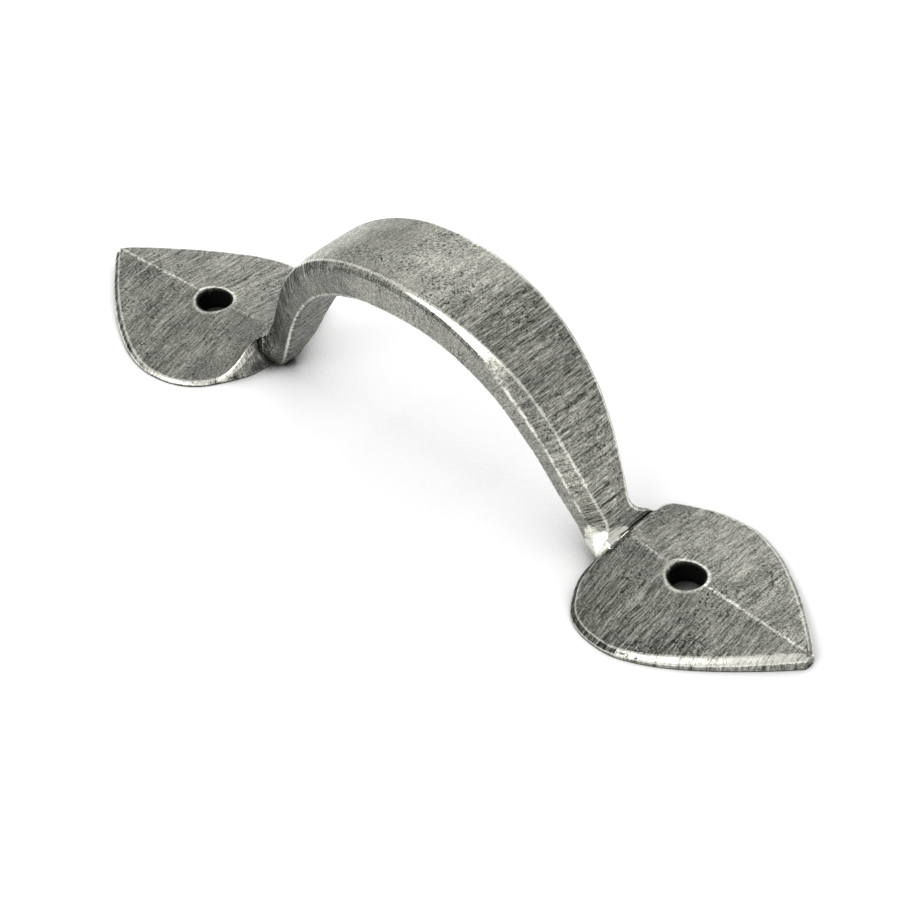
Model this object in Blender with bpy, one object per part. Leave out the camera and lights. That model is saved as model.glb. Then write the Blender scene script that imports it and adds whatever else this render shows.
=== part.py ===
"""A door pull handle, forged from one flat bar of steel.

The middle of the bar is bent up into a bow to grip. Each end is hammered out into a leaf
with a ridge down its middle, a point at its tip and one screw hole.

The origin is the middle of the back, which lies on the door. +X runs along the handle,
+Y across it and +Z out from the door. Lengths are in metres.
"""

import math

import bmesh
import bpy
from mathutils import Vector

MM = 0.001

# Overall sizes
OVERALL_LENGTH = 102.0 * MM
BOW_HEIGHT = 26.5 * MM
HOLE_SPACING = 69.8 * MM

# The bow, which stands a little nearer to the tip on the +X side
BOW_SHIFT = 0.9 * MM
GRIP_WIDTH = 11.4 * MM
FOOT_WIDTH = 4.2 * MM
GRIP_THICKNESS = 4.5 * MM
FOOT_THICKNESS = 3.5 * MM
GRIP_CROWN = 0.2 * MM
GRIP_CHAMFER = 0.5 * MM
LEG_CHAMFER_ACROSS = 1.5 * MM
LEG_CHAMFER_DOWN = 1.6 * MM
INNER_CHAMFER = 0.35 * MM
LEG_LEAN = math.radians(50.0)
LEG_REACH = 4.6 * MM
SHOULDER_REACH = 19.8 * MM
FOOT_FLARE_SHARE = 0.15

# The leaves
LEAF_LENGTH = 25.2 * MM
LEAF_WIDTH = 24.3 * MM
TIP_TO_WIDEST = 17.4 * MM
TIP_WIDTH = 0.9 * MM
FLANK_FULLNESS = 5.6 * MM
LOBE_FULLNESS = 7.8 * MM
RIGHT_THROAT_WIDTH = 8.8 * MM
LEFT_THROAT_WIDTH = 5.2 * MM
THROAT_FLARE = 2.8 * MM
RIDGE_HEIGHT = 2.9 * MM
TIP_HEIGHT = 1.9 * MM
LOBE_EDGE_HEIGHT = 0.8 * MM
EDGE_CHAMFER = 0.4 * MM
BACK_CHAMFER = 0.15 * MM

# The bend where a leg meets its leaf
CREASE_HEIGHT = 3.7 * MM
CREASE_RADIUS = 0.6 * MM
HEEL_RADIUS = 1.3 * MM

# The screw holes
HOLE_DIAMETER = 3.8 * MM
HOLE_MOUTH_DIAMETER = 4.6 * MM
HOLE_MOUTH_DEPTH = 0.45 * MM
HOLE_SIDES = 32

# Sections along each half of the handle
FLANK_SECTIONS = 14
LOBE_SECTIONS = 12
BEND_SECTIONS = 5
LEG_SECTIONS = 22
SMALL_STEP = 0.001

# Building
SHARP_EDGE_ANGLE = math.radians(25.0)
CUTTER_OVERRUN = 1.0 * MM
MERGE_DISTANCE = 0.001 * MM

TIP_X = OVERALL_LENGTH / 2
WIDEST_X = TIP_X - TIP_TO_WIDEST
HOLE_X = HOLE_SPACING / 2
LEG_RISE = Vector((-math.cos(LEG_LEAN), 0, math.sin(LEG_LEAN)))


def bezier(start, start_handle, end_handle, end, t):
    """The point at t, from 0 to 1, on the cubic curve with these four control points."""
    s = 1 - t
    return (
        s**3 * Vector(start)
        + 3 * s * s * t * Vector(start_handle)
        + 3 * s * t * t * Vector(end_handle)
        + t**3 * Vector(end)
    )


def blend(low, high, share):
    """The value a share of the way from low to high, with a soft start and a soft end."""
    share = min(max(share, 0.0), 1.0)
    return low + (high - low) * share * share * (3 - 2 * share)


def bend_normal(turned):
    """Down at the leaf, and into the bar once the bend has turned as far as the leg leans."""
    return Vector((-math.sin(turned), 0, -math.cos(turned)))


def crease_point(crease_x, turned):
    """A point on the small fillet where the leaf's top turns up into the leg."""
    centre = Vector((crease_x, 0, CREASE_HEIGHT + CREASE_RADIUS))
    return centre + bend_normal(turned) * CREASE_RADIUS


def heel_point(crease_x, turned):
    """A point on the heel, where the back turns up into the leg's inner face."""
    inward = bend_normal(LEG_LEAN)
    inner_foot = crease_point(crease_x, LEG_LEAN) + inward * (FOOT_THICKNESS - HEEL_RADIUS)
    climb = (HEEL_RADIUS - inner_foot.z) / LEG_RISE.z
    return inner_foot + LEG_RISE * climb + bend_normal(turned) * HEEL_RADIUS


def leaf_outline(crease_x, throat_width):
    """Half of a leaf's outline as (x, y) points: its flank from the tip, then its lobe to the neck."""
    tip = (TIP_X, TIP_WIDTH / 2)
    widest = (WIDEST_X, LEAF_WIDTH / 2)
    neck = (crease_x, throat_width / 2)
    fullest_flank = (WIDEST_X + FLANK_FULLNESS, widest[1])
    fullest_lobe = (WIDEST_X - LOBE_FULLNESS, widest[1])
    flared_neck = (neck[0], neck[1] + THROAT_FLARE)
    flank = [bezier(tip, tip, fullest_flank, widest, i / FLANK_SECTIONS) for i in range(FLANK_SECTIONS)]
    lobe = [bezier(widest, fullest_lobe, flared_neck, neck, i / LOBE_SECTIONS) for i in range(LOBE_SECTIONS)]
    return flank + lobe


def ridge_height(crease_x, x):
    """The height of a leaf's ridge, which falls from the crease to the tip."""
    if x > HOLE_X:
        return blend(RIDGE_HEIGHT, TIP_HEIGHT, (x - HOLE_X) / (TIP_X - HOLE_X))
    return blend(RIDGE_HEIGHT, CREASE_HEIGHT, (HOLE_X - x) / (HOLE_X - crease_x))


def edge_height(place, throat_width):
    """The height of a leaf's top edge, which is thin round the lobe and thick at the neck."""
    if place.x > WIDEST_X:
        to_tip = (place.x - WIDEST_X) / (TIP_X - WIDEST_X)
        return LOBE_EDGE_HEIGHT + (TIP_HEIGHT - LOBE_EDGE_HEIGHT) * to_tip
    neck, lobe = throat_width / 2, LEAF_WIDTH / 2
    return blend(CREASE_HEIGHT, LOBE_EDGE_HEIGHT, (place.y - neck) / (lobe - neck))


def leaf_sections(crease_x, throat_width):
    """Half sections of a leaf, from its tip to the neck. Each runs from the ridge round to the back.

    Towards the neck the sections lean over, until they lie along the line from crease to heel.
    """
    neck_lean = crease_x - heel_point(crease_x, 0).x
    outline = leaf_outline(crease_x, throat_width)
    sections = []
    for i, place in enumerate(outline):
        along = outline[min(i + 1, len(outline) - 1)] - outline[max(i - 1, 0)]
        outward = Vector((along.y, -along.x)).normalized()
        past_widest = max(i - FLANK_SECTIONS, 0) / LOBE_SECTIONS
        middle_x = place.x if i < FLANK_SECTIONS else WIDEST_X + (crease_x - WIDEST_X) * past_widest
        top_edge = place - outward * EDGE_CHAMFER
        back_edge = place - outward * BACK_CHAMFER
        height = edge_height(place, throat_width)
        ridge = Vector((middle_x, 0, ridge_height(crease_x, middle_x)))
        edge = Vector((top_edge.x, top_edge.y, height))
        section = [
            ridge,
            (ridge + edge) / 2,
            edge,
            Vector((place.x, place.y, height - EDGE_CHAMFER)),
            Vector((place.x, place.y, BACK_CHAMFER)),
            Vector((back_edge.x, back_edge.y, 0)),
            Vector((middle_x, 0, 0)),
        ]
        for point in section:
            point.x -= blend(0, neck_lean, past_widest) * (1 - point.z / CREASE_HEIGHT)
        sections.append(section)
    blunt_tip = sections[0]
    blunt_tip[0].x = blunt_tip[1].x = blunt_tip[2].x
    blunt_tip[6].x = blunt_tip[5].x
    return sections


def bar_section(top, bottom, width, crown, across, down):
    """Half a section of the bar between the middle of its outer face and the middle of its inner face.

    The outer edge is chamfered by so much across the face and down the side.
    """
    depth = bottom - top
    thickness = depth.length
    inward = depth / thickness
    half = width / 2

    def at(y, below):
        return Vector((top.x + inward.x * below, y, top.z + inward.z * below))

    return [
        at(0, 0),
        at((half - across) / 2, crown / 4),
        at(half - across, crown),
        at(half, crown + down),
        at(half, thickness - INNER_CHAMFER),
        at(half - INNER_CHAMFER, thickness),
        at(0, thickness),
    ]


def bend_sections(crease_x, throat_width):
    """Half sections that fan round the crease, from the leaf's neck to the foot of the leg."""
    sections = []
    for i in range(BEND_SECTIONS + 1):
        turned = LEG_LEAN * i / BEND_SECTIONS
        top, bottom = crease_point(crease_x, turned), heel_point(crease_x, turned)
        sections.append(bar_section(top, bottom, throat_width, 0, EDGE_CHAMFER, EDGE_CHAMFER))
    return sections


def leg_sections(crease_x, middle_x, throat_width):
    """Half sections of a leg, from just above its foot to the middle of the bow."""
    foot = crease_point(crease_x, LEG_LEAN)
    foot_handle = foot + LEG_RISE * LEG_REACH
    middle = Vector((middle_x, 0, BOW_HEIGHT))
    shoulder = middle + Vector((SHOULDER_REACH, 0, 0))
    sections = []
    for i in range(1, LEG_SECTIONS + 1):
        u = i / LEG_SECTIONS
        top = bezier(foot, foot_handle, shoulder, middle, u)
        before = bezier(foot, foot_handle, shoulder, middle, u - SMALL_STEP)
        along = Vector((-1, 0, 0)) if i == LEG_SECTIONS else (top - before).normalized()
        inward = Vector((-along.z, 0, along.x))
        swell, widening = math.sin(math.pi * u), math.sin(math.pi * u / 2)
        flare = max(1 - u / FOOT_FLARE_SHARE, 0) ** 2
        width = FOOT_WIDTH + (GRIP_WIDTH - FOOT_WIDTH) * widening + (throat_width - FOOT_WIDTH) * flare
        across = GRIP_CHAMFER + (LEG_CHAMFER_ACROSS - GRIP_CHAMFER) * swell
        down = GRIP_CHAMFER + (LEG_CHAMFER_DOWN - GRIP_CHAMFER) * swell
        bottom = top + inward * (FOOT_THICKNESS + (GRIP_THICKNESS - FOOT_THICKNESS) * widening)
        sections.append(bar_section(top, bottom, width, GRIP_CROWN * widening, across, down))
    return sections


def half_sections(middle_x, throat_width):
    """Half sections from the +X tip to the middle of the bow."""
    crease_x = TIP_X - LEAF_LENGTH + middle_x
    leaf = leaf_sections(crease_x, throat_width)
    return leaf + bend_sections(crease_x, throat_width) + leg_sections(crease_x, middle_x, throat_width)


def mirrored(section):
    return [Vector((-p.x, p.y, p.z)) for p in section]


def add_ring(bm, section):
    """A closed ring from a half section, as vertices and edges."""
    other_side = [Vector((p.x, -p.y, p.z)) for p in reversed(section[1:-1])]
    verts = [bm.verts.new(p) for p in section + other_side]
    edges = [bm.edges.new((v, verts[i - 1])) for i, v in enumerate(verts)]
    return verts, edges


def close_tip(bm, ring):
    """The blunt end of a tip: its sloping upper part, its upright face and its sloping lower part."""
    side, foot = [ring[3], ring[9]], [ring[4], ring[8]]
    bm.faces.new(ring[10:] + ring[:3] + side)
    bm.faces.new([side[1], side[0], foot[0], foot[1]])
    bm.faces.new([foot[1], foot[0], ring[5], ring[6], ring[7]])


def forge_bar():
    """The whole handle without its holes, skinned over its sections from one tip to the other."""
    right = half_sections(BOW_SHIFT, RIGHT_THROAT_WIDTH)
    left = [mirrored(section) for section in half_sections(-BOW_SHIFT, LEFT_THROAT_WIDTH)]
    bm = bmesh.new()
    rings = [add_ring(bm, section) for section in right + left[-2::-1]]
    for (_, edges), (_, next_edges) in zip(rings, rings[1:]):
        bmesh.ops.bridge_loops(bm, edges=edges + next_edges)
    close_tip(bm, rings[0][0])
    close_tip(bm, rings[-1][0])
    bmesh.ops.recalc_face_normals(bm, faces=bm.faces)
    mesh = bpy.data.meshes.new("pull_handle")
    bm.to_mesh(mesh)
    bm.free()
    return mesh


def hole_cutter(name, x):
    """A turned cutter for one screw hole, with the flare of its mouth."""
    bore, mouth = HOLE_DIAMETER / 2, HOLE_MOUTH_DIAMETER / 2
    rim = mouth + (mouth - bore) * CUTTER_OVERRUN / HOLE_MOUTH_DEPTH
    profile = [
        (0, -CUTTER_OVERRUN),
        (bore, -CUTTER_OVERRUN),
        (bore, RIDGE_HEIGHT - HOLE_MOUTH_DEPTH),
        (rim, RIDGE_HEIGHT + CUTTER_OVERRUN),
        (0, RIDGE_HEIGHT + CUTTER_OVERRUN),
    ]
    bm = bmesh.new()
    verts = [bm.verts.new((r, 0, z)) for r, z in profile]
    edges = [bm.edges.new(pair) for pair in zip(verts, verts[1:])]
    bmesh.ops.spin(
        bm,
        geom=verts + edges,
        cent=(0, 0, 0),
        axis=(0, 0, 1),
        angle=math.tau,
        steps=HOLE_SIDES,
        use_merge=True,
    )
    bmesh.ops.remove_doubles(bm, verts=bm.verts, dist=MERGE_DISTANCE)
    bmesh.ops.recalc_face_normals(bm, faces=bm.faces)
    mesh = bpy.data.meshes.new(name)
    bm.to_mesh(mesh)
    bm.free()
    cutter = bpy.data.objects.new(name, mesh)
    cutter.location = (x, 0, 0)
    cutter.hide_render = True
    cutter.display_type = "WIRE"
    bpy.context.scene.collection.objects.link(cutter)
    return cutter


def forged_steel():
    """Mid-grey steel with a waxed, brushed finish."""
    material = bpy.data.materials.new("forged_steel")
    material.use_nodes = True
    shader = material.node_tree.nodes["Principled BSDF"]
    shader.inputs["Base Color"].default_value = (0.27, 0.27, 0.255, 1)
    shader.inputs["Metallic"].default_value = 1.0
    shader.inputs["Roughness"].default_value = 0.42
    return material


def main():
    for obj in list(bpy.data.objects):
        bpy.data.objects.remove(obj)
    handle = bpy.data.objects.new("pull_handle", forge_bar())
    bpy.context.scene.collection.objects.link(handle)
    handle.data.materials.append(forged_steel())
    handle.data.shade_smooth()
    handle.data.set_sharp_from_angle(angle=SHARP_EDGE_ANGLE)
    for name, x in (("left_hole_cutter", -HOLE_X), ("right_hole_cutter", HOLE_X)):
        hole = handle.modifiers.new(name, "BOOLEAN")
        hole.operation = "DIFFERENCE"
        hole.solver = "EXACT"
        hole.object = hole_cutter(name, x)


main()
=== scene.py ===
import math

import bmesh
import bpy
from mathutils import Matrix, Vector, noise


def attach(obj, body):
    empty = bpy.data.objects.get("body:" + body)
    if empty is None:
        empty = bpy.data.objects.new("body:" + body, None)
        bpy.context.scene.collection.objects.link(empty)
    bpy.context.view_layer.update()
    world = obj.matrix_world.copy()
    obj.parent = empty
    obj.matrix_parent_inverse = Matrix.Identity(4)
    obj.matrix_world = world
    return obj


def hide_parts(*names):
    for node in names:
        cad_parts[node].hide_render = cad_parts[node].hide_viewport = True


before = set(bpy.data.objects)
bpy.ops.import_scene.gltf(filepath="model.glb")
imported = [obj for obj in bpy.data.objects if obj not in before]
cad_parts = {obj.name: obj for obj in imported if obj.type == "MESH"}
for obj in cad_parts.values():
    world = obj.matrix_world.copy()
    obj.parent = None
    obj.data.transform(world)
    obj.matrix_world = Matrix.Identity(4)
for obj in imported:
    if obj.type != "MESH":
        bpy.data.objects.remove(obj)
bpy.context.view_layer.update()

# The leaf ends. A smith draws out each end of a flat mild steel bar into a spade-shaped leaf.
# Two hammered slopes meet in a low ridge that runs from the bend to the tip, and the edge is
# thin round the lobes and thick at the tip and at the neck.
mm = 0.001
tip_x = 51.0 * mm
widest_x = 33.6 * mm
hole_x = 34.9 * mm
tip_half_width = 0.6 * mm
leaf_length = 25.2 * mm
ridge_height = 2.9 * mm
tip_droop, droop_reach = 0.3 * mm, 0.8 * mm
flank_bevel = 0.6 * mm
back_bevel = 0.15 * mm
crease_height = 3.7 * mm
crease_radius = 0.35 * mm
flank_steps, lobe_steps = 44, 44


def bezier(start, start_handle, end_handle, end, t):
    """The point at t, from 0 to 1, on the cubic curve with these four control points."""
    s = 1 - t
    return (
        s**3 * Vector(start)
        + 3 * s * s * t * Vector(start_handle)
        + 3 * s * t * t * Vector(end_handle)
        + t**3 * Vector(end)
    )


def blend(low, high, share):
    """The value a share of the way from low to high, with a soft start and a soft end."""
    share = min(max(share, 0.0), 1.0)
    return low + (high - low) * share * share * (3 - 2 * share)


def rise(at, start, span):
    """Goes softly from 0 at start to 1 a span further on."""
    return blend(0, 1, (at - start) / span)


def fall(at, start, span):
    """Goes softly from 1 at start to 0 a span further on."""
    return blend(1, 0, (at - start) / span)


def bend_normal(turned):
    """Down at the leaf, and into the bar once the bend has turned as far as the leg leans."""
    return Vector((-math.sin(turned), 0, -math.cos(turned)))


def crease_point(crease_x, turned, radius=crease_radius):
    """A point on the inside of the bend, which is a sharp crease with a small radius."""
    centre = Vector((crease_x, 0, crease_height + radius))
    return centre + bend_normal(turned) * radius


def heel_point(crease_x, foot, turned):
    """A point on the heel, the arc between the leaf's flat back and the underside of the leg."""
    lean, radius = foot["lean"], foot["heel"]
    inner_foot = crease_point(crease_x, lean) + bend_normal(lean) * (foot["thickness"] - radius)
    rising = Vector((-math.cos(lean), 0, math.sin(lean)))
    climb = (radius - inner_foot.z) / rising.z
    return inner_foot + rising * climb + bend_normal(turned) * radius


# Each leaf was hammered by eye, so its two lobes differ. width and throat are the lobe's half of
# the leaf and of the neck. flank and full say how full it is towards the tip and the bow, shoulder
# and flare how far it runs past the bend and how wide it meets the neck. thinning says how soon
# the edge thins out, edge how high it then is and bevel how broad its bevel. bend is how round
# the crease's end is, neck_bevel the bevel there across and down, and turns how far that bevel
# turns square to the bar. tuck is how far the heel's lower edge is drawn in, and tip how thick
# the leaf's tip is.
lobes = {
    "right_near": dict(
        width=12.1 * mm, flank=6.6 * mm, full=7.2 * mm, shoulder=1.0 * mm, flare=3.4 * mm,
        throat=3.7 * mm, thinning=1.15, edge=0.85 * mm, bevel=0.45 * mm, bend=1.5 * mm,
        neck_bevel=(1.1 * mm, 1.6 * mm), turns=1.0, tuck=0.8 * mm, tip=1.9 * mm,
    ),
    "right_far": dict(
        width=11.9 * mm, flank=7.4 * mm, full=7.4 * mm, shoulder=0.3 * mm, flare=3.0 * mm,
        throat=4.9 * mm, thinning=1.0, edge=0.85 * mm, bevel=0.45 * mm, bend=crease_radius,
        neck_bevel=(0.4 * mm, 0.5 * mm), turns=0.0, tuck=0.0, tip=1.9 * mm,
    ),
    "left_near": dict(
        width=12.05 * mm, flank=7.8 * mm, full=7.4 * mm, shoulder=0.3 * mm, flare=3.0 * mm,
        throat=2.9 * mm, thinning=1.6, edge=0.6 * mm, bevel=0.32 * mm, bend=crease_radius,
        neck_bevel=(0.3 * mm, 0.9 * mm), turns=0.3, tuck=1.2 * mm, tip=2.25 * mm,
    ),
    "left_far": dict(
        width=12.05 * mm, flank=6.0 * mm, full=7.8 * mm, shoulder=0.0, flare=3.0 * mm,
        throat=2.6 * mm, thinning=1.0, edge=0.85 * mm, bevel=0.45 * mm, bend=crease_radius,
        neck_bevel=(0.5 * mm, 0.6 * mm), turns=0.0, tuck=1.4 * mm, tip=2.25 * mm,
    ),
}


def leaf_stations(crease_x, foot, lobe):
    """Sections of half a leaf from tip to neck, each as seven corners on its +Y side."""
    leaf_half_width, throat_half_width = lobe["width"], lobe["throat"]
    tip, widest = (tip_x, tip_half_width), (widest_x, leaf_half_width)
    neck = (crease_x, throat_half_width)
    full_flank = (widest_x + lobe["flank"], leaf_half_width)
    full_lobe = (widest_x - lobe["full"], leaf_half_width)
    flared_neck = (crease_x - lobe["shoulder"], throat_half_width + lobe["flare"])
    outline = [bezier(tip, tip, full_flank, widest, i / flank_steps) for i in range(flank_steps)]
    outline += [
        bezier(widest, full_lobe, flared_neck, neck, i / lobe_steps) for i in range(lobe_steps)
    ]
    neck_lean = crease_x - heel_point(crease_x, foot, 0).x
    stations = []
    for i, place in enumerate(outline):
        on_flank = i < flank_steps
        along = outline[min(i + 1, len(outline) - 1)] - outline[max(i - 1, 0)]
        outward = Vector((along.y, -along.x)).normalized()
        past_widest = max(i - flank_steps, 0) / lobe_steps
        middle_x = place.x if on_flank else widest_x + (crease_x - widest_x) * past_widest
        if middle_x > hole_x:
            to_tip = (middle_x - hole_x) / (tip_x - hole_x)
            middle_z = blend(ridge_height, lobe["tip"], to_tip)
        else:
            to_crease = (hole_x - middle_x) / (hole_x - crease_x)
            middle_z = blend(ridge_height, crease_height, to_crease)
        if on_flank:
            # The bevel reaches its full breadth half way to the tip.
            to_tip = (place.x - widest_x) / (tip_x - widest_x)
            height = lobe["edge"] + (lobe["tip"] - lobe["edge"]) * to_tip
            bevel = drop = blend(lobe["bevel"], flank_bevel, to_tip * 2)
        else:
            across = (place.y - throat_half_width) / (leaf_half_width - throat_half_width)
            height = blend(crease_height, lobe["edge"], across * lobe["thinning"])
            at_neck = rise(past_widest, 0.6, 0.4)
            outward = outward.lerp(Vector((0, 1)), at_neck * lobe["turns"]).normalized()
            bevel, drop = (
                lobe["bevel"] + (end - lobe["bevel"]) * at_neck for end in lobe["neck_bevel"]
            )
        drop = min(drop, height * 0.5)
        top, back = place - outward * bevel, place - outward * back_bevel
        ridge, edge = Vector((middle_x, 0, middle_z)), Vector((top.x, top.y, height))
        corners = [
            ridge,
            (ridge + edge) / 2,
            edge,
            Vector((place.x, place.y, height - drop)),
            Vector((place.x, place.y, back_bevel)),
            Vector((back.x, back.y, 0)),
            Vector((middle_x, 0, 0)),
        ]
        for corner in corners[:3]:
            corner.z -= tip_droop * max(1 - (tip_x - place.x) / droop_reach, 0) ** 2
        # The last half of the lobe leans over to meet the bend, and its last fifth is tucked in.
        for corner in corners:
            corner.x -= blend(0, neck_lean, past_widest * 2 - 1) * (1 - corner.z / crease_height)
        for corner in corners[4:6]:
            corner.y -= blend(0, lobe["tuck"], past_widest * 5 - 4)
        if i == 0:
            corners[0].x = corners[1].x = corners[2].x
            corners[6].x = corners[5].x
        stations.append(corners)
    return stations


# The legs and the bow. The bar turns up sharply at each leaf's neck, climbs as a narrow leg and
# swells into a wide, slightly crowned grip. The smith filed a chamfer along both outer edges,
# broad on the legs and hardly more than a rounded corner over the top.
bow_shift = 0.9 * mm
bow_height = 26.5 * mm
grip_width = 11.4 * mm
grip_thickness = 4.5 * mm
grip_crown = 0.2 * mm
grip_bevel = 0.5 * mm
foot_width = 4.2 * mm
shoulder_reach = 19.8 * mm
inner_bevel = 0.35 * mm
flare_share = 0.15
groove_depth = 0.35 * mm
bend_steps, leg_steps = 8, 90

# The two feet were bent one after the other, so they lean differently. reach is how far a leg
# runs straight, heel the heel's radius, crease how far the crease was shifted and spread how late
# the leg widens. The chamfers are widths across and down, each swell says how far up its chamfer
# stays broad, and the smith's chisel left grooves at some steps of each bend.
feet = {
    "right": dict(
        middle_x=bow_shift, lean=math.radians(50), reach=4.6 * mm, thickness=3.5 * mm,
        heel=0.8 * mm, crease=0.0, spread=1.0,
        near_chamfer=(1.2 * mm, 1.5 * mm), near_swell=2.2, near_grooves=(),
        far_chamfer=(0.7 * mm, 0.7 * mm), far_swell=1.1, far_grooves=(3, 5),
    ),
    "left": dict(
        middle_x=-bow_shift, lean=math.radians(61), reach=5.5 * mm, thickness=3.8 * mm,
        heel=2.4 * mm, crease=0.3 * mm, spread=1.3,
        near_chamfer=(1.2 * mm, 2.3 * mm), near_swell=1.3, near_grooves=(1, 3),
        far_chamfer=(0.7 * mm, 0.7 * mm), far_swell=1.1, far_grooves=(),
    ),
}


def bar_corners(top, bottom, width, crown, across, down):
    """Seven corners of the +Y half of the bar's section, chamfered at its outer edge."""
    depth = bottom - top
    thickness = depth.length
    inward = depth / thickness
    half = width / 2
    places = [
        (0, 0),
        ((half - across) / 2, crown / 4),
        (half - across, crown),
        (half, crown + down),
        (half, thickness - inner_bevel),
        (half - inner_bevel, thickness),
        (0, thickness),
    ]
    return [Vector((top.x + inward.x * below, y, top.z + inward.z * below)) for y, below in places]


def bow_stations(crease_x, foot, lobe, face):
    """Sections of one half of the bow, from the leaf's neck to the top, as the leaf's are given."""
    throat_half_width, lean, chamfer = lobe["throat"], foot["lean"], foot[face + "_chamfer"]
    stations = []
    for i in range(bend_steps + 1):
        turned = lean * i / bend_steps
        top, bottom = crease_point(crease_x, turned), heel_point(crease_x, foot, turned)
        across, down = (
            start + (end - start) * i / bend_steps
            for start, end in zip(lobe["neck_bevel"], chamfer)
        )
        corners = bar_corners(top, bottom, throat_half_width * 2, 0, across, down)
        # Towards its end the crease is as round as the lobe says, and half way out half as much.
        for number, share in ((1, 0.5), (2, 1.0)):
            radius = crease_radius + (lobe["bend"] - crease_radius) * share
            start_x = crease_x + (radius - crease_radius) * math.tan(lean / 2)
            corners[number] += crease_point(start_x, turned, radius) - top
        for corner in corners[4:6]:
            corner.y -= lobe["tuck"]
        # A far groove is cut down into the crease, a near groove into the side of the neck.
        if i in foot[face + "_grooves"]:
            for corner in corners[:4] if face == "far" else corners[2:6]:
                if face == "far":
                    corner += bend_normal(turned) * groove_depth
                else:
                    corner.y -= groove_depth
        stations.append(corners)
    start = crease_point(crease_x, lean)
    start_handle = start + Vector((-math.cos(lean), 0, math.sin(lean))) * foot["reach"]
    middle = Vector((foot["middle_x"], 0, bow_height))
    shoulder = middle + Vector((shoulder_reach, 0, 0))
    for i in range(1, leg_steps + 1):
        u = i / leg_steps
        top, before = (bezier(start, start_handle, shoulder, middle, v) for v in (u, u - 0.001))
        along = Vector((-1, 0, 0)) if i == leg_steps else (top - before).normalized()
        inward = Vector((-along.z, 0, along.x))
        swell = blend(0, 1, (1 - u) * foot[face + "_swell"])
        widening = math.sin(math.pi * u ** foot["spread"] / 2)
        flare = max(1 - u / flare_share, 0) ** 2
        width = foot_width + (grip_width - foot_width) * widening
        width += (throat_half_width * 2 - foot_width) * flare
        thickness = foot["thickness"] + (grip_thickness - foot["thickness"]) * widening
        across, down = (grip_bevel + (on_leg - grip_bevel) * swell for on_leg in chamfer)
        corners = bar_corners(
            top, top + inward * thickness, width, grip_crown * widening, across, down
        )
        for corner in corners[4:6]:
            corner.y -= lobe["tuck"] * flare
        stations.append(corners)
    return stations


def half_stations(side):
    """Whole sections from a tip to the top of the bow, at +X: far corners, then near ones."""
    foot = feet[side]
    crease_x = tip_x - leaf_length + foot["middle_x"] + foot["crease"]
    halves = []
    for face in ("far", "near"):
        lobe = lobes[side + "_" + face]
        leaf = leaf_stations(crease_x, foot, lobe)
        halves.append(leaf + bow_stations(crease_x, foot, lobe, face))
    return [
        far + [Vector((c.x, -c.y, c.z)) for c in near[5:0:-1]] for far, near in zip(*halves)
    ]


# Filing and rubbing down rounds every corner of the section a little. Corners go round the bar
# from the ridge: far side, back, near side. Each arc is worn most in its middle.
corner_radii = [0.25 * mm, 0, 0.2 * mm, 0.25 * mm, 0.2 * mm, 0.1 * mm, 0]
corner_zones = ["top", "top", "bevel", "side", "back", "back"]
corner_zones += ["back", "back", "side", "bevel", "top", "top"]
arc_wear = (0.35, 0.85, 0.85, 0.35)
widest_arc = 0.4
runs = [7, 7, 3, 3, 1, 6]
hold, widest_hold = 0.1 * mm, 0.25


def ring_points(corners):
    """The rounded section as points, each with its wear, its zone and its corner."""
    radii = corner_radii + corner_radii[5:0:-1]
    steps = runs + runs[::-1]
    arcs = []
    for i, corner in enumerate(corners):
        to_last, to_next = corners[i - 1] - corner, corners[(i + 1) % len(corners)] - corner
        reach = min(radii[i], to_last.length * widest_arc, to_next.length * widest_arc)
        if radii[i]:
            start = corner + to_last.normalized() * reach
            end = corner + to_next.normalized() * reach
            arcs.append([
                (1 - t) ** 2 * start + 2 * t * (1 - t) * corner + t * t * end
                for t in (0, 1 / 3, 2 / 3, 1)
            ])
        else:
            arcs.append([corner])
    ring = []
    for i, arc in enumerate(arcs):
        for k, point in enumerate(arc):
            wear = arc_wear[k] if len(arc) == len(arc_wear) else 0.0
            zone = corner_zones[i - 1] if k < len(arc) / 2 else corner_zones[i]
            ring.append((point, wear, zone, i))
        start, end = arc[-1], arcs[(i + 1) % len(arcs)][0]
        held = min(hold / max((end - start).length, hold), widest_hold)
        for step in range(1, steps[i] + 2):
            share = held + (1 - 2 * held) * (step - 1) / steps[i]
            ring.append((start.lerp(end, share), 0.0, corner_zones[i], None))
    return ring


def blunted(corners):
    """A smaller copy of a tip's section, in its plane, where the flat end of the leaf begins."""
    middle = sum(corners, Vector()) / len(corners)
    return [middle + (c - middle) * 0.75 for c in corners]


right_half, left_half = half_stations("right"), half_stations("left")
left_half = [[Vector((-c.x, c.y, c.z)) for c in corners] for corners in left_half]
stations = right_half + left_half[-2::-1]
stations = [blunted(stations[0])] + stations + [blunted(stations[-1])]

# The corners that wear in their own way, by number: the ridge, the lower edges, the back's edges,
# and the two lines of the near chamfer. The ridge is worn more beyond the hole.
ridge_line, low_lines, back_lines = 0, (4, 8), (5, 7)
near_low_line, chamfer_low_line, chamfer_top_line = 8, 9, 10
ridge_wear, ridge_wear_past_hole = 0.42, 0.57

# Where the bow's finish ends and where brush marks stop following the bar, both in millimetres
# from the middle, and the number of the section at the left leaf's neck.
bow_end, bar_marks_end = 24.6, 28
left_neck = len(stations) - 2 - flank_steps - lobe_steps


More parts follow.
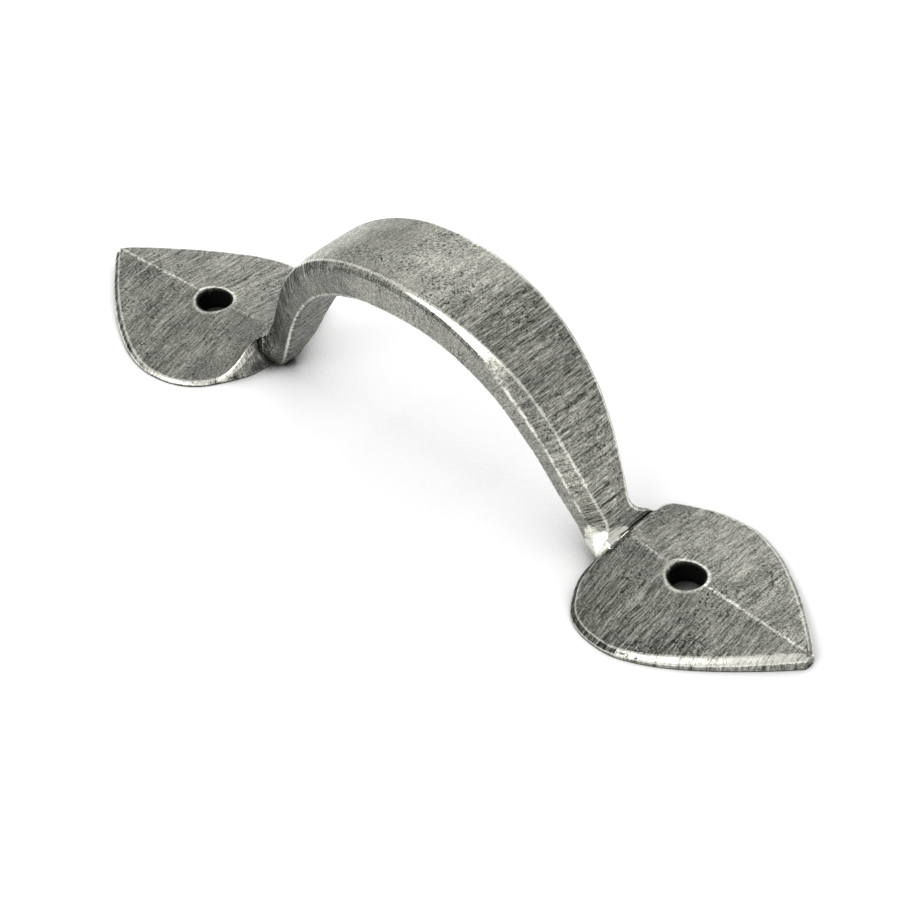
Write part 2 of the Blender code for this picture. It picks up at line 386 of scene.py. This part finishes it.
def finish_at(point, zone, wear, corner, number):
    """How bright (rubbing, painted highlight), how dark (oxide, painted shade), how plainly
    brushed.
    """
    x, y, z = point.x / mm, point.y / mm, point.z / mm
    oxide_and_shade, brightened, brushed = 0.0, 0.0, 1.0
    near, on_bow = y < 0, abs(x) < bow_end
    into_left_bend = left_neck - number
    # The lower edges are rubbed less than the upper ones, and the back's edges not at all.
    if corner in low_lines:
        wear *= 0.6
    if corner in back_lines:
        wear = 0.0
    # The bow's sides show few brush marks, and the left leg's underside is darkened, as painted
    # shade.
    if on_bow and zone in ("side", "bevel"):
        brushed = 0.35
    if zone == "back" and x < -12:
        oxide_and_shade = 0.35
    # The leaves kept some oxide. On the right one the near half is painted darker and the far half
    # lighter, as painted shade, and the near lobe has plainer brush marks.
    if zone == "top" and not on_bow:
        oxide_and_shade, brushed = 0.14, 0.85
        if x > 0:
            oxide_and_shade -= 0.1 * min(max(y / 8, -1), 1)
            brushed += 0.35 * rise(-y, 3, 4)
    # The grip is plainly brushed down its right half, and lighter on its left half, most on the
    # left shoulder, and on the right foot.
    if on_bow and zone == "top":
        brushed = 0.45 + 1.15 * rise(x, 3, 9) * fall(x, 21, 4)
        brightened = 0.12 * fall(x, 1, 8) + 0.2 * rise(x, 16, 5) + 0.3 * rise(-x, 6, 7)
    if near and on_bow:
        # The left leg's chamfer is black low down and plainly brushed, and its side is darkened, as
        # painted shade.
        if zone == "bevel" and x < 0:
            oxide_and_shade = 0.6 * fall(x, -12, 4)
            brushed = 1.2 + 0.7 * rise(x, -23, 3) * fall(x, -15, 4)
        if zone == "side" and x < 0:
            oxide_and_shade = 0.25 * rise(-x, 3, 6) + 0.2 * fall(x, -20, 4)
        # The bright streak along the chamfer right of the middle is a painted highlight, over the
        # front box's own reflection; then comes a darker stretch.
        if zone == "bevel" and x > 0:
            oxide_and_shade = 0.2 * rise(x, 12, 4) * fall(x, 17, 5)
            brightened = 0.95 * rise(x, 0, 3) * fall(x, 9, 9) + 0.25 * rise(x, 17, 4)
            brushed = 0.35 + 0.5 * rise(x, 8, 6)
        # The near side right of the middle is lightened a little, as a painted reflection of the
        # paper.
        if zone == "side" and x > 0:
            brightened = 0.1 * rise(x, 0, 6)
        # The chamfer's lower line is painted dark over the grip, as painted shade over the front
        # box's reflection, and turns bright down the right leg, where both of its lines are worn
        # unevenly.
        if corner == chamfer_low_line and -24 < x < 1:
            oxide_and_shade, brightened, wear = 0.35, 0.0, 0.0
        if corner == chamfer_low_line and 1 < x < 14:
            oxide_and_shade, brightened, wear = 0.4 * fall(x, 10, 4), 0.0, 0.85 * rise(x, 10, 4)
        if corner in (chamfer_low_line, chamfer_top_line) and x > 8:
            uneven = 0.7 * noise.noise(point / (1.1 * mm))
            wear *= 0.7 + uneven + 0.3 * (corner == chamfer_top_line)
        if corner == near_low_line:
            wear *= 1.0 + 0.8 * rise(-x, 16, 5)
    # The left leaf's near bevel is painted bright round the lobe, a painted highlight, and black
    # towards the tip. Its neck is lighter and coarsely brushed, with black blotches next to the
    # bend.
    if near and zone == "bevel" and x < -bow_end:
        brightened, oxide_and_shade, brushed = 0.75 * fall(-x, 33, 3), 0.6 * rise(-x, 35, 3), 2.0
    if near and zone == "side" and -34 < x < -25.4:
        brightened, brushed = 0.4, 1.6
    if near and zone in ("side", "bevel") and -28.5 < x < -25.2:
        oxide_and_shade = 2.4 * max(noise.noise(point / (0.55 * mm)), 0.0) * fall(-x, 26.5, 2)
    # The right leaf's near bevel is black round the lobe and painted bright towards the tip, partly
    # a painted highlight; its side goes the same way.
    if near and zone == "bevel" and x > 26:
        brightened, oxide_and_shade, brushed = 0.75 * rise(x, 35, 3), 0.85 * fall(x, 34, 3), 1.5
        wear *= blend(0.2, 1, (x - 33) / 3)
    if near and zone == "side" and 26 < x < 36:
        brightened, oxide_and_shade = 0.35 * rise(x, 29, 3), 0.6 * fall(x, 27, 3)
    # The near half of the right foot is polished and painted bright up to a slanting line, partly a
    # painted highlight, and black is left in the crease in front of it and in the crease's far
    # half.
    if -4.2 < y < 0.6 and 23.5 < x < 26.8 and z > 2.0 and zone != "back":
        slanting_height = z - 4.1 + 0.4 * max(y + 1, 0)
        brightened = max(brightened, 0.95 * fall(slanting_height, 0, 0.9))
        oxide_and_shade, brushed = 0.0, 1.8
    if -3.4 < y < 0.4 and 26.8 < x < 27.3 and zone == "top":
        oxide_and_shade, wear = 0.7, 0.0
    if zone == "top" and y > 0.6 and abs(x - 26.6) < 0.3 and z > 3.2:
        oxide_and_shade, brightened, wear = 0.6, 0.0, 0.0
    # The grooves of the left bend are black, in its chamfer and on the first half of its side.
    if near and zone in ("bevel", "side") and 0 <= into_left_bend <= bend_steps:
        brightened, wear = 0.0, 0.0
        oxide_and_shade = 1.0 if zone == "bevel" or into_left_bend < 5 else 0.45
    return max(wear, brightened), oxide_and_shade * (1 - 0.7 * wear), brushed


bm = bmesh.new()
worn_and_highlight_layer = bm.verts.layers.float.new("worn_and_highlight")
oxide_and_shade_layer = bm.verts.layers.float.new("oxide_and_shade")
brushed_layer = bm.verts.layers.float.new("brushed")
bow_layer = bm.verts.layers.float.new("bow")
uv_layer = bm.loops.layers.uv.new("bar")
along_bar, places, last_ridge = 0.0, {}, stations[0][0]
for number, corners in enumerate(stations):
    points = ring_points(corners)
    if number == 0:
        ring = [bm.verts.new(point) for point, *rest in points]
        edges = [bm.edges.new((v, ring[i - 1])) for i, v in enumerate(ring)]
        first_edges = edges
    else:
        drawn = bmesh.ops.extrude_edge_only(bm, edges=edges)["geom"]
        fresh = {v for v in drawn if isinstance(v, bmesh.types.BMVert)}
        ring = [e.other_vert(v) for v in ring for e in v.link_edges if e.other_vert(v) in fresh]
        edges = [e for e in drawn if isinstance(e, bmesh.types.BMEdge) and set(e.verts) <= fresh]
    along_bar += (corners[0] - last_ridge).length
    last_ridge = corners[0]
    steps = [0.0] + [(b[0] - a[0]).length for a, b in zip(points, points[1:])]
    girth, round_bar = sum(steps), 0.0
    for v, step, (point, wear, zone, corner) in zip(ring, steps, points):
        round_bar += step
        v.co = point
        bar_share = min(max(bar_marks_end - abs(point.x) / mm, 0.0), 1.0)
        if corner == ridge_line:
            worn_ridge = ridge_wear_past_hole if abs(point.x) > hole_x else ridge_wear
            wear *= worn_ridge * (1 - bar_share)
        painted = finish_at(point, zone, wear, corner, number)
        v[worn_and_highlight_layer], v[oxide_and_shade_layer], v[brushed_layer] = painted
        v[bow_layer] = bar_share
        places[v] = (along_bar, round_bar if round_bar < girth / 2 else round_bar - girth)
for closing in (first_edges, edges):
    bmesh.ops.contextual_create(bm, geom=closing)
bmesh.ops.recalc_face_normals(bm, faces=bm.faces)
for face in bm.faces:
    around = [places[v][1] for v in face.verts]
    on_seam = max(around) - min(around) > grip_thickness
    for loop in face.loops:
        u, v = places[loop.vert]
        loop[uv_layer].uv = (u, abs(v) if on_seam else v)
bmesh.ops.triangulate(bm, faces=[f for f in bm.faces if len(f.verts) > 4])

# Hammering leaves the faces gently uneven, a few hundredths of a millimetre over a few
# millimetres. It fades out at the back, the crown and the tips, which touch the solid's box, and
# rubbing flattened it.
dent_depth, dent_size = 0.07 * mm, 3.6 * mm
small_dents, small_dent_rate = 0.5, 2.3
back_fade, crown_fade, tip_fade = 0.5 * mm, 0.3 * mm, 1.0 * mm
flattened = 0.6
bm.normal_update()
shifts = []
for v in bm.verts:
    dent = v.co / dent_size
    shifts.append(noise.noise(dent) + small_dents * noise.noise(dent * small_dent_rate))
for v, shift in zip(bm.verts, shifts):
    above_back, below_crown = v.co.z / back_fade, (bow_height - v.co.z) / crown_fade
    inside = min(above_back, below_crown, (tip_x - abs(v.co.x)) / tip_fade, 1.0)
    v.co += v.normal * (
        shift * dent_depth * max(inside, 0.0) * (1.0 - flattened * v[worn_and_highlight_layer])
    )

mesh = bpy.data.meshes.new("forged_handle")
bm.to_mesh(mesh)
bm.free()
handle = bpy.data.objects.new("forged_handle", mesh)
bpy.context.scene.collection.objects.link(handle)

# The screw holes. Each leaf has one drilled hole, 3.8 mm across, on its ridge.
# A countersink bit has just broken its edge, so it has a narrow bright rim.
hole_radius = 1.9 * mm
mouth_radius = 2.35 * mm
mouth_depth = 0.45 * mm
over = 1.0 * mm


def hole_cutter(name, x):
    """A turned cutter for one hole, from below the back to above the ridge."""
    bm = bmesh.new()
    flare = (mouth_radius - hole_radius) / mouth_depth
    profile = [
        (0, -over),
        (hole_radius, -over),
        (hole_radius, ridge_height - mouth_depth),
        (mouth_radius + flare * over, ridge_height + over),
        (0, ridge_height + over),
    ]
    verts = [bm.verts.new((r, 0, z)) for r, z in profile]
    line = [bm.edges.new(pair) for pair in zip(verts, verts[1:])]
    bmesh.ops.spin(
        bm, geom=verts + line, axis=(0, 0, 1), cent=(0, 0, 0), angle=math.tau, steps=64,
        use_merge=True,
    )
    bmesh.ops.remove_doubles(bm, verts=bm.verts, dist=0.001 * mm)
    bmesh.ops.recalc_face_normals(bm, faces=bm.faces)
    bmesh.ops.translate(bm, verts=bm.verts, vec=(x, 0, 0))
    mesh = bpy.data.meshes.new(name)
    bm.to_mesh(mesh)
    bm.free()
    cutter = bpy.data.objects.new(name, mesh)
    bpy.context.scene.collection.objects.link(cutter)
    return cutter


def cut(piece, cutter):
    """Cuts the cutter out of the piece for good, then throws the cutter away."""
    bore = piece.modifiers.new(cutter.name, "BOOLEAN")
    bore.operation, bore.solver, bore.object = "DIFFERENCE", "EXACT", cutter
    bpy.context.view_layer.update()
    evaluated = piece.evaluated_get(bpy.context.evaluated_depsgraph_get())
    bored = bpy.data.meshes.new_from_object(evaluated)
    piece.modifiers.remove(bore)
    bored.name, piece.data = piece.name, bored
    bpy.data.objects.remove(cutter)


for side, x in (("left", -hole_x), ("right", hole_x)):
    cut(handle, hole_cutter(side + "_hole", x))

handle.data.shade_smooth()
handle.data.set_sharp_from_angle(angle=math.radians(40.0))

# Pewter-finished forged steel. The bar is brushed by hand, blackened and waxed, and the high
# spots are rubbed back, so the eye sees warm grey metal with black in every brush mark and pit,
# bright lines along the worn edges and the ridge, and black left in the hollows.


def linear(hex_colour):
    """An sRGB hex colour as linear RGBA."""
    parts = [int(hex_colour[i : i + 2], 16) / 255 for i in (1, 3, 5)]
    return [c / 12.92 if c <= 0.04045 else ((c + 0.055) / 1.055) ** 2.4 for c in parts] + [1.0]


def add_node(tree, kind, settings=None, links=None):
    """Adds one node. links maps an input to a socket, or to a plain value."""
    node = tree.nodes.new(kind)
    for name, value in (settings or {}).items():
        setattr(node, name, value)
    for name, value in (links or {}).items():
        if isinstance(value, bpy.types.NodeSocket):
            tree.links.new(value, node.inputs[name])
        else:
            node.inputs[name].default_value = value
    return node


steel = bpy.data.materials.new("pewter_finished_forged_steel")
steel.use_nodes = True
tree = steel.node_tree
shader = tree.nodes["Principled BSDF"]
place = add_node(tree, "ShaderNodeTexCoord").outputs["Object"]
bar_map = add_node(tree, "ShaderNodeUVMap", {"uv_map": "bar"}).outputs[0]
# The first attribute also carries finish_at's painted highlights, the second its painted shade.
worn_and_highlight, oxide_and_shade, plainly, on_bow = (
    add_node(tree, "ShaderNodeAttribute", {"attribute_name": name}).outputs["Fac"]
    for name in ("worn_and_highlight", "oxide_and_shade", "brushed", "bow")
)

# The brush wandered, so its marks bend by about a quarter of a millimetre over a few millimetres
# on the leaves, and by less on the bow.
wander_size, wander, bow_wander = 4.5 * mm, 1.0 * mm, 0.4
large = add_node(tree, "ShaderNodeVectorMath", {"operation": "SCALE"}, {
    0: place, "Scale": 1 / wander_size,
})
drift = add_node(tree, "ShaderNodeTexNoise", links={
    "Vector": large.outputs[0], "Scale": 1.0, "Detail": 1.0,
})
drift = add_node(tree, "ShaderNodeVectorMath", {"operation": "SUBTRACT"}, {
    0: drift.outputs["Color"], 1: (0.5, 0.5, 0.5),
})
drift = add_node(tree, "ShaderNodeVectorMath", {"operation": "SCALE"}, {
    0: drift.outputs[0], "Scale": wander,
})

# Brush marks run across the leaf, turned a little, and straight across the bow. A real bristle
# leaves marks some 0.05 mm wide; they are drawn 0.11 mm wide, so that they show.
leaf_turn = math.radians(-3)
turned = add_node(tree, "ShaderNodeMapping", {"vector_type": "POINT"}, {
    "Vector": place, "Rotation": (0, 0, leaf_turn),
})
on_leaf = add_node(tree, "ShaderNodeVectorMath", {"operation": "ADD"}, {
    0: turned.outputs[0], 1: drift.outputs[0],
})
less_drift = add_node(tree, "ShaderNodeVectorMath", {"operation": "SCALE"}, {
    0: drift.outputs[0], "Scale": bow_wander,
})
on_bar = add_node(tree, "ShaderNodeVectorMath", {"operation": "ADD"}, {
    0: bar_map, 1: less_drift.outputs[0],
})
brushed = add_node(tree, "ShaderNodeMix", {"data_type": "VECTOR"}, {
    0: on_bow, 4: on_leaf.outputs[0], 5: on_bar.outputs[0],
})


def marks(width, length, detail, offset=0.0):
    """Brush marks of a real width and length, as a noise about 0.5."""
    sized = add_node(tree, "ShaderNodeVectorMath", {"operation": "MULTIPLY_ADD"}, {
        0: brushed.outputs[1], 1: (1 / width, 1 / length, 1 / length), 2: (offset, offset, offset),
    })
    return add_node(tree, "ShaderNodeTexNoise", links={
        "Vector": sized.outputs[0], "Scale": 1.0, "Detail": detail,
    }).outputs["Fac"]


def spots(size, detail):
    """Spots of a real size that run in no direction, as a noise about 0.5."""
    sized = add_node(tree, "ShaderNodeVectorMath", {"operation": "SCALE"}, {
        0: place, "Scale": 1 / size,
    })
    return add_node(tree, "ShaderNodeTexNoise", links={
        "Vector": sized.outputs[0], "Scale": 1.0, "Detail": detail,
    }).outputs["Fac"]


def weighed(value, weight, total):
    """total plus weight times how far value is from 0.5."""
    about = add_node(tree, "ShaderNodeMath", {"operation": "SUBTRACT"}, {0: value, 1: 0.5})
    return add_node(tree, "ShaderNodeMath", {"operation": "MULTIPLY_ADD"}, {
        0: about.outputs[0], 1: weight, 2: total,
    }).outputs[0]


# Fine and coarse brush marks, pits, and scars that crowd together in patches. The worn edges are
# ragged, because rubbing misses the pits.
fine = marks(width=0.11 * mm, length=1.2 * mm, detail=2.0)
streaks = marks(width=0.28 * mm, length=6.0 * mm, detail=2.0, offset=7.3)
pits = spots(size=0.17 * mm, detail=1.0)
patches = spots(size=3.2 * mm, detail=3.0)
scars = add_node(tree, "ShaderNodeMapRange", {"interpolation_type": "SMOOTHSTEP"}, {
    "Value": spots(size=0.3 * mm, detail=2.0),
    "From Min": 0.54, "From Max": 0.67, "To Min": 0.0, "To Max": 0.34,
}).outputs[0]
scarred = add_node(tree, "ShaderNodeMapRange", {"interpolation_type": "SMOOTHSTEP"}, {
    "Value": spots(size=4.6 * mm, detail=2.0),
    "From Min": 0.5, "From Max": 0.64, "To Min": 0.25, "To Max": 1.0,
}).outputs[0]
scars = add_node(tree, "ShaderNodeMath", {"operation": "MULTIPLY"}, {
    0: scars, 1: scarred,
}).outputs[0]
ragged = weighed(spots(size=0.35 * mm, detail=2.0), weight=1.2, total=worn_and_highlight)
worn_and_highlight = add_node(tree, "ShaderNodeMapRange", {"interpolation_type": "SMOOTHSTEP"}, {
    "Value": ragged, "From Min": 0.12, "From Max": 0.95,
}).outputs[0]

# One value carries the tone: 0 is black oxide, 1 is steel rubbed bright, and the painted
# highlights and painted shade go into it too. The part of it that the marks make is the relief as
# well.
middle_tone, worn_and_highlight_weight, oxide_and_shade_weight = 0.55, 0.46, -0.4
relief = weighed(fine, weight=0.8, total=0.0)
relief = weighed(streaks, weight=0.65, total=relief)
relief = add_node(tree, "ShaderNodeMath", {"operation": "MULTIPLY"}, {
    0: relief, 1: plainly,
}).outputs[0]
relief = weighed(pits, weight=0.7, total=relief)
relief = add_node(tree, "ShaderNodeMath", {"operation": "SUBTRACT"}, {
    0: relief, 1: scars,
}).outputs[0]
relief = add_node(tree, "ShaderNodeMath", {"operation": "ADD"}, {
    0: relief, 1: middle_tone,
}).outputs[0]
tone = weighed(patches, weight=0.24, total=relief)
for value, weight in ((worn_and_highlight, worn_and_highlight_weight), (oxide_and_shade, oxide_and_shade_weight)):
    tone = add_node(tree, "ShaderNodeMath", {"operation": "MULTIPLY_ADD"}, {
        0: value, 1: weight, 2: tone,
    }).outputs[0]

# The drilled holes are black inside, and their rims are rubbed bright.
rim_width, bore_edge = 0.35 * mm, 0.05 * mm
apart = add_node(tree, "ShaderNodeSeparateXYZ", links={0: place})
from_hole = add_node(tree, "ShaderNodeMath", {"operation": "ABSOLUTE"}, {0: apart.outputs["X"]})
from_hole = add_node(tree, "ShaderNodeMath", {"operation": "SUBTRACT"}, {
    0: from_hole.outputs[0], 1: hole_x,
})
from_hole = add_node(tree, "ShaderNodeCombineXYZ", links={
    "X": from_hole.outputs[0], "Y": apart.outputs["Y"],
})
from_hole = add_node(tree, "ShaderNodeVectorMath", {"operation": "LENGTH"}, {
    0: from_hole.outputs[0],
}).outputs["Value"]
rim = add_node(tree, "ShaderNodeMapRange", {"interpolation_type": "SMOOTHSTEP"}, {
    "Value": from_hole, "From Min": mouth_radius + rim_width, "From Max": mouth_radius,
    "To Min": 0.0, "To Max": 0.3,
})
bore = add_node(tree, "ShaderNodeMapRange", {"interpolation_type": "SMOOTHSTEP"}, {
    "Value": from_hole, "From Min": mouth_radius - bore_edge, "From Max": hole_radius,
    "To Min": 0.0, "To Max": 1.2,
})
for operation, change in (("ADD", rim), ("SUBTRACT", bore)):
    tone = add_node(tree, "ShaderNodeMath", {"operation": operation}, {
        0: tone, 1: change.outputs[0],
    }).outputs[0]

# The tone gives the colour, and the brighter the steel is rubbed the smoother it is.
colours = add_node(tree, "ShaderNodeValToRGB", links={"Fac": tone})
ramp = colours.color_ramp
for position, colour in (
    (0.0, "#232321"), (0.3, "#555550"), (0.5, "#868680"), (0.72, "#b2b2a8"), (1.0, "#e4e3da"),
):
    if position in (0.0, 1.0):
        stop = ramp.elements[0 if position == 0.0 else -1]
    else:
        stop = ramp.elements.new(position)
    stop.position, stop.color = position, linear(colour)
tree.links.new(colours.outputs["Color"], shader.inputs["Base Color"])
shader.inputs["Metallic"].default_value = 1.0
polish = add_node(tree, "ShaderNodeMapRange", links={
    "Value": tone, "From Min": 0.1, "From Max": 0.95, "To Min": 0.62, "To Max": 0.3,
})
tree.links.new(polish.outputs[0], shader.inputs["Roughness"])
mark_depth = 0.015 * mm
scratched = add_node(tree, "ShaderNodeBump", links={
    "Height": relief, "Distance": mark_depth, "Strength": 1.0,
})
tree.links.new(scratched.outputs[0], shader.inputs["Normal"])

handle.data.materials.clear()
handle.data.materials.append(steel)
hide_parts("pull_handle")
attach(handle, "root")

# The studio. The handle lies on a white sheet of paper under soft light from all round, with a
# soft box at the front left for the bright streak along the near chamfer and one behind it.
bm = bmesh.new()
bmesh.ops.create_grid(bm, x_segments=1, y_segments=1, size=3.0)
paper_mesh = bpy.data.meshes.new("paper")
bm.to_mesh(paper_mesh)
bm.free()
paper = bpy.data.objects.new("paper", paper_mesh)
bpy.context.scene.collection.objects.link(paper)

# What the camera and the metal see of the paper is lifted to white, but not where it is covered,
# so a painted shadow is left round and under the handle. Where it is almost shut in, under the
# bow's feet, the paper's colour is painted darker too, as painted shade.
shadow_reach, paper_lift = 28 * mm, 0.54
white = bpy.data.materials.new("white_paper")
white.use_nodes = True
tree = white.node_tree
tree.nodes.clear()
rays = add_node(tree, "ShaderNodeLightPath")
seen = rays.outputs["Is Camera Ray"]
for other in ("Is Glossy Ray", "Is Transmission Ray"):
    seen = add_node(tree, "ShaderNodeMath", {"operation": "ADD"}, {
        0: seen, 1: rays.outputs[other],
    }).outputs[0]
# Painted shadow: the paper's lift and colour fall with ambient occlusion round the handle.
open_sky = add_node(tree, "ShaderNodeAmbientOcclusion", {"samples": 8}, {"Distance": shadow_reach})
unshadowed_share = add_node(tree, "ShaderNodeMapRange", links={
    "Value": open_sky.outputs["AO"], "From Min": 0.32, "From Max": 1.0,
})
shaded_paper_colour = add_node(tree, "ShaderNodeMapRange", links={
    "Value": open_sky.outputs["AO"], "From Min": 0.36, "From Max": 0.54,
    "To Min": 0.02, "To Max": 0.62,
})
lift = seen
for factor in (unshadowed_share.outputs[0], paper_lift):
    lift = add_node(tree, "ShaderNodeMath", {"operation": "MULTIPLY"}, {
        0: lift, 1: factor,
    }).outputs[0]
matt = add_node(tree, "ShaderNodeBsdfDiffuse", links={"Color": shaded_paper_colour.outputs[0]})
glow = add_node(tree, "ShaderNodeEmission", links={"Color": (1, 1, 1, 1), "Strength": lift})
both = add_node(tree, "ShaderNodeAddShader", links={0: matt.outputs[0], 1: glow.outputs[0]})
add_node(tree, "ShaderNodeOutputMaterial", links={"Surface": both.outputs[0]})
paper.data.materials.append(white)

# The room is white all round. The camera sees it full white, a little brighter than it shines.
room_strength, seen_strength = 0.75, 1.0
world = bpy.data.worlds.new("studio")
bpy.context.scene.world = world
world.use_nodes = True
tree = world.node_tree
tree.nodes.clear()
rays = add_node(tree, "ShaderNodeLightPath")
room, plain = (
    add_node(tree, "ShaderNodeBackground", links={"Color": (1, 1, 1, 1), "Strength": strength})
    for strength in (room_strength, seen_strength)
)
mixed = add_node(tree, "ShaderNodeMixShader", links={
    0: rays.outputs["Is Camera Ray"], 1: room.outputs[0], 2: plain.outputs[0],
})
add_node(tree, "ShaderNodeOutputWorld", links={"Surface": mixed.outputs[0]})

handle_middle = Vector((0, 0, 12 * mm))


def soft_box(name, direction, distance, width, height, power):
    """A rectangular area light that faces the handle from the given direction."""
    lamp = bpy.data.lights.new(name, "AREA")
    lamp.shape, lamp.size, lamp.size_y, lamp.energy = "RECTANGLE", width, height, power
    holder = bpy.data.objects.new(name, lamp)
    towards = Vector(direction).normalized()
    holder.location = towards * distance + handle_middle
    holder.rotation_euler = towards.to_track_quat("Z", "Y").to_euler()
    bpy.context.scene.collection.objects.link(holder)


soft_box(
    "front_box", direction=(-0.014, -0.77, 0.60), distance=0.9, width=0.655, height=0.42, power=4.7
)
soft_box(
    "back_box", direction=(-0.45, 0.62, 0.64), distance=1.1, width=0.6, height=0.6, power=1.9
)

# The camera, which looks down at the handle from its right end as the photograph does.
bearing, height_angle, roll = math.radians(44.54), math.radians(41.79), math.radians(-2.73)
distance, drop = 343.97 * mm, 0.85 * mm
lens_data = bpy.data.cameras.new("camera")
lens_data.sensor_width = 36.0
lens_data.lens = 122.89
lens_data.shift_x = 0.02255
lens_data.shift_y = -0.00621
lens_data.clip_start, lens_data.clip_end = 0.01, 10.0
back = Vector((
    math.sin(bearing) * math.cos(height_angle),
    -math.cos(bearing) * math.cos(height_angle),
    math.sin(height_angle),
))
right = Vector((math.cos(bearing), math.sin(bearing), 0))
up = back.cross(right)
rolled_right = math.cos(roll) * right + math.sin(roll) * up
rolled_up = math.cos(roll) * up - math.sin(roll) * right
turn = Matrix((rolled_right, rolled_up, back)).transposed().to_4x4()
camera = bpy.data.objects.new("camera", lens_data)
camera.matrix_world = Matrix.Translation(back * distance - Vector((0, 0, drop))) @ turn
bpy.context.scene.collection.objects.link(camera)
bpy.context.scene.camera = camera
bpy.context.scene.view_settings.view_transform = "Standard"
